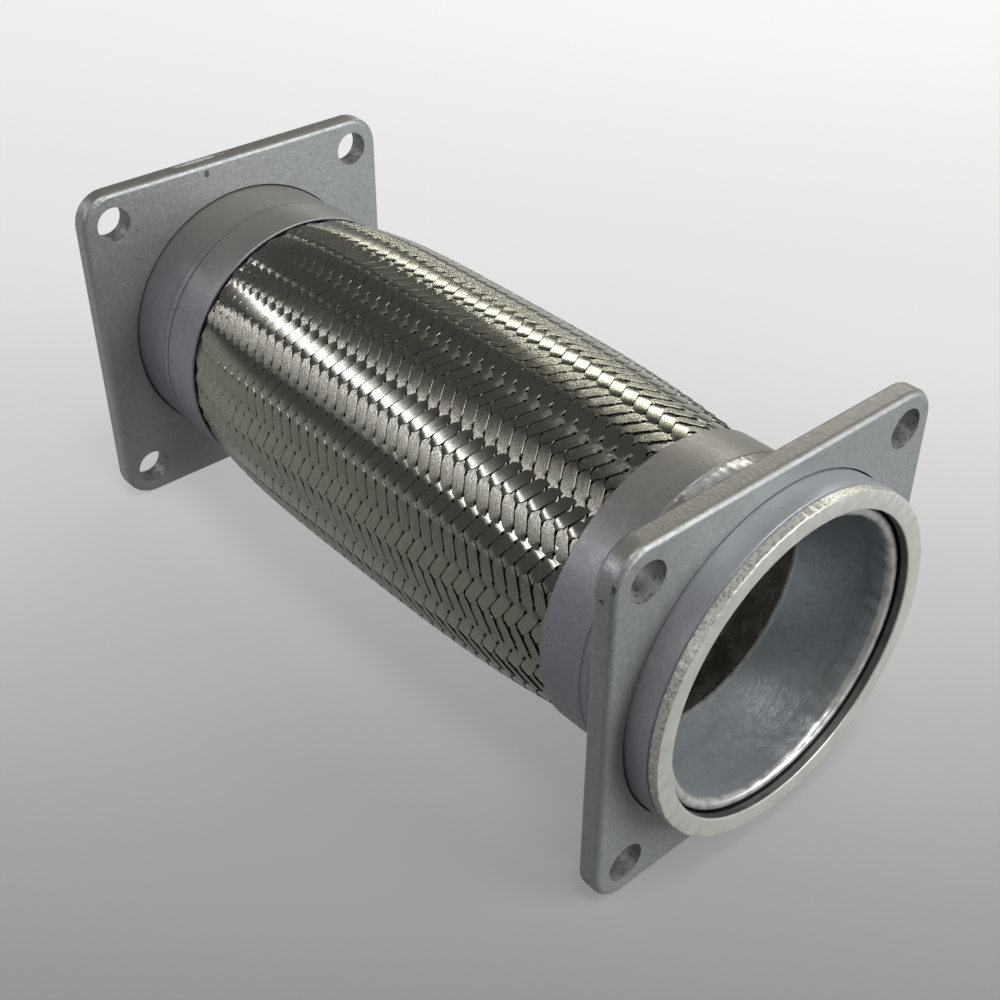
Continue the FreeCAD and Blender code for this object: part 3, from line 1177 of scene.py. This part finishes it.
@dataclass
class Studio:
    """Plain pale floor, soft lamps and a quiet surround."""

    floor_height: float = -0.0652
    floor_side: float = 14.0
    toward: tuple[float, float] = (-0.75, 0.66)
    front: Colour = (0.21, 0.21, 0.21)
    back: Colour = (1.07, 1.07, 1.07)
    near_share: float = 0.72
    shadowed: float = 0.70
    mirrored: float = 0.65
    glow: float = 0.56
    surround: Colour = (0.62, 0.63, 0.65)
    surround_strength: float = 0.20
    lamps: tuple[SoftLamp, ...] = (
        SoftLamp("window", (-0.80, -1.20, 0.90), (0, 0, 0), (2.2, 0.09), 9.5, (0.93, 0.92, 0.99)),
        SoftLamp("ceiling", (0.52, -0.24, 1.65), (0.05, 0, 0), (0.5, 0.45), 12, (1.0, 0.99, 0.95)),
        SoftLamp("front_fill", (1.5, 0.9, 1.2), (0.1, 0, 0), (1.0, 1.0), 23, (0.97, 1.0, 1.0)),
        SoftLamp("low_fill", (1.3, 0.62, 0.13), (0.15, 0, 0), (0.8, 0.5), 9, (0.97, 1.0, 1.0)),
        SoftLamp("back_strip", (-0.6, 1.25, 0.68), (0, 0, 0), (1.2, 0.09), 6, (1.0, 0.98, 0.89)))

    def floor(self) -> bpy.types.Object:
        """Lays a pale floor that darkens towards the camera and keeps a faint shadow."""
        deselect_all()
        bpy.ops.mesh.primitive_plane_add(size=self.floor_side, location=(0, 0, self.floor_height))
        floor = bpy.context.active_object
        floor.name = "studio_floor"
        n = Nodes("studio_floor")
        split = n.add("ShaderNodeSeparateXYZ", {0: n.place()})
        away = n.math("ADD", n.math("MULTIPLY", split.outputs["X"], self.toward[0]),
                      n.math("MULTIPLY", split.outputs["Y"], self.toward[1]))
        near_part = n.ramp(away, -0.34, 0.20, 0.0, self.near_share)
        far_part = n.ramp(away, 0.02, 0.78, 0.0, 1 - self.near_share)
        shade = n.mix(n.math("ADD", near_part, far_part), self.front, self.back)
        base = n.mix(self.shadowed, shade, (0.0, 0.0, 0.0))
        path = n.add("ShaderNodeLightPath")
        mirrored = n.math("MULTIPLY", path.outputs["Is Glossy Ray"], self.mirrored)
        seen = n.math("MAXIMUM", path.outputs["Is Camera Ray"], mirrored)
        seen = n.math("MAXIMUM", seen, path.outputs["Is Transmission Ray"])
        dress(floor, n.finish(Base_Color=base, Metallic=0.0, Roughness=0.9, Emission_Color=shade,
                              Emission_Strength=n.math("MULTIPLY", seen, self.glow)))
        return floor

    def build(self) -> None:
        """Sets the floor, the lamps and the surround."""
        self.floor()
        for lamp in self.lamps:
            lamp.hang()
        world = bpy.data.worlds.new("studio_surround")
        bpy.context.scene.world = world
        world.use_nodes = True
        shade = world.node_tree.nodes["Background"]
        shade.inputs[0].default_value = (*self.surround, 1)
        shade.inputs[1].default_value = self.surround_strength
        bpy.context.scene.view_settings.view_transform = "Standard"


def flange_paint(end: End) -> bpy.types.Material:
    """Paint of one flange, with that flange's own chips and bare spots."""
    bright, dark = (0.72, 0.71, 0.66), (0.10, 0.10, 0.10)
    if end is End.NEAR:
        corner = WornSpot((136.8, -64.0, 55.5), (0.9, 0.9, 2.0), dark)
        below = WornSpot((133.5, -65.0, 50.5), (1.2, 0.8, 0.8), dark)
        return SilverPaint("near_flange_paint", chips=0.04, worn=(corner, below)).material()
    scratch = WornSpot((-134.7, -13.8, 65.0), (1.3, 11.0, 1.6), bright)
    chip = WornSpot((-130.0, -13.0, 61.2), (1.0, 1.3, 1.8), dark)
    return SilverPaint("far_flange_paint", chips=0.03, worn=(scratch, chip)).material()


def main() -> None:
    """Builds the pieces in order and reports each one."""
    logging.basicConfig(level=logging.INFO, format="%(message)s")
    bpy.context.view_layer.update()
    tube_paint = SilverPaint("tube_paint", colour=(0.305, 0.30, 0.33), shade=(0.25, 0.247, 0.27),
                             metallic=0.40, roughness=0.40, grain=0.05).material()
    ring_paint = SilverPaint("ring_paint", colour=(0.40, 0.415, 0.435), shade=(0.31, 0.32, 0.34),
                             metallic=0.45, roughness=0.38, grain=0.05, top_shade_and_dust=(0.40, 0.415, 0.435)).material()
    bowl_paint = SilverPaint("bowl_paint", colour=(0.42, 0.45, 0.47), shade=(0.33, 0.36, 0.38),
                             metallic=0.65, roughness=0.36, grain=0.08, lumps=0.16,
                             top_shade_and_dust=(0.40, 0.43, 0.45)).material()
    hole_metal = RoughBare("hole_metal", colour=(0.30, 0.305, 0.305), pit=(0.16, 0.16, 0.16),
                           scale=600.0, roughness=0.55).material()
    weld_metal = RoughBare("weld_metal", colour=(0.62, 0.62, 0.60), pit=(0.42, 0.42, 0.40),
                           scale=260.0, roughness=0.34).material()
    bare_rim = RoughBare("bare_rim").material()
    bare_face = MachinedFace("bare_face").material()
    # Near-black steel that stands for shade: painted shade deep in the rings' bores and on the collars'
    # ends.
    painted_shade_black = PlainSteel("painted_shade_black", colour=(0.035, 0.035, 0.035), film=(0.02, 0.02, 0.02),
                             roughness=0.5).material()
    # Dull dark steel for the bores' mouths: partly painted shade of the recess.
    bore_dull_shaded = PlainSteel("bore_dull_shaded", colour=(0.20, 0.20, 0.185), film=(0.09, 0.09, 0.085),
                           roughness=0.5).material()
    # Near-black bellows: painted shade for what shows through the braid's holes, over smoke-dulled steel.
    bellows_steel = PlainSteel("bellows_steel", colour=(0.12, 0.115, 0.10), film=(0.05, 0.05, 0.045),
                               roughness=0.4).material()
    liner_steel = PlainSteel("liner_steel", colour=(0.62, 0.61, 0.56), film=(0.52, 0.51, 0.46),
                             roughness=0.22).material()
    wire = WireStrand("wire_strand").material()
    pieces = []
    for end, reach in ((End.NEAR, 36.0), (End.FAR, 42.0)):
        pipe_end = PipeEnd(end, reach)
        # The near bead's bright upper patch is bare weld metal, and in part a painted highlight.
        bead_top = weld_metal if end is End.NEAR else tube_paint
        pieces += [SquareFlange(end).build(flange_paint(end), hole_metal),
                   SealRing(end).build(bare_face, bare_rim, ring_paint, painted_shade_black, bore_dull_shaded),
                   pipe_end.collar(tube_paint, painted_shade_black),
                   pipe_end.bead(tube_paint, bead_top),
                   pipe_end.ferrule(tube_paint),
                   pipe_end.cone(bowl_paint, weld_metal, liner_steel)]
    middle = FlexibleMiddle()
    pieces += [middle.lay_of_strands(Lean.RIGHT, wire), middle.lay_of_strands(Lean.LEFT, wire),
               middle.bellows(bellows_steel), middle.liner(liner_steel)]
    for piece in pieces:
        log.info("%s: %d faces", piece.name, len(piece.data.polygons))
    Studio().build()
    PhotoCamera().build()


if __name__ == "__main__":
    main()
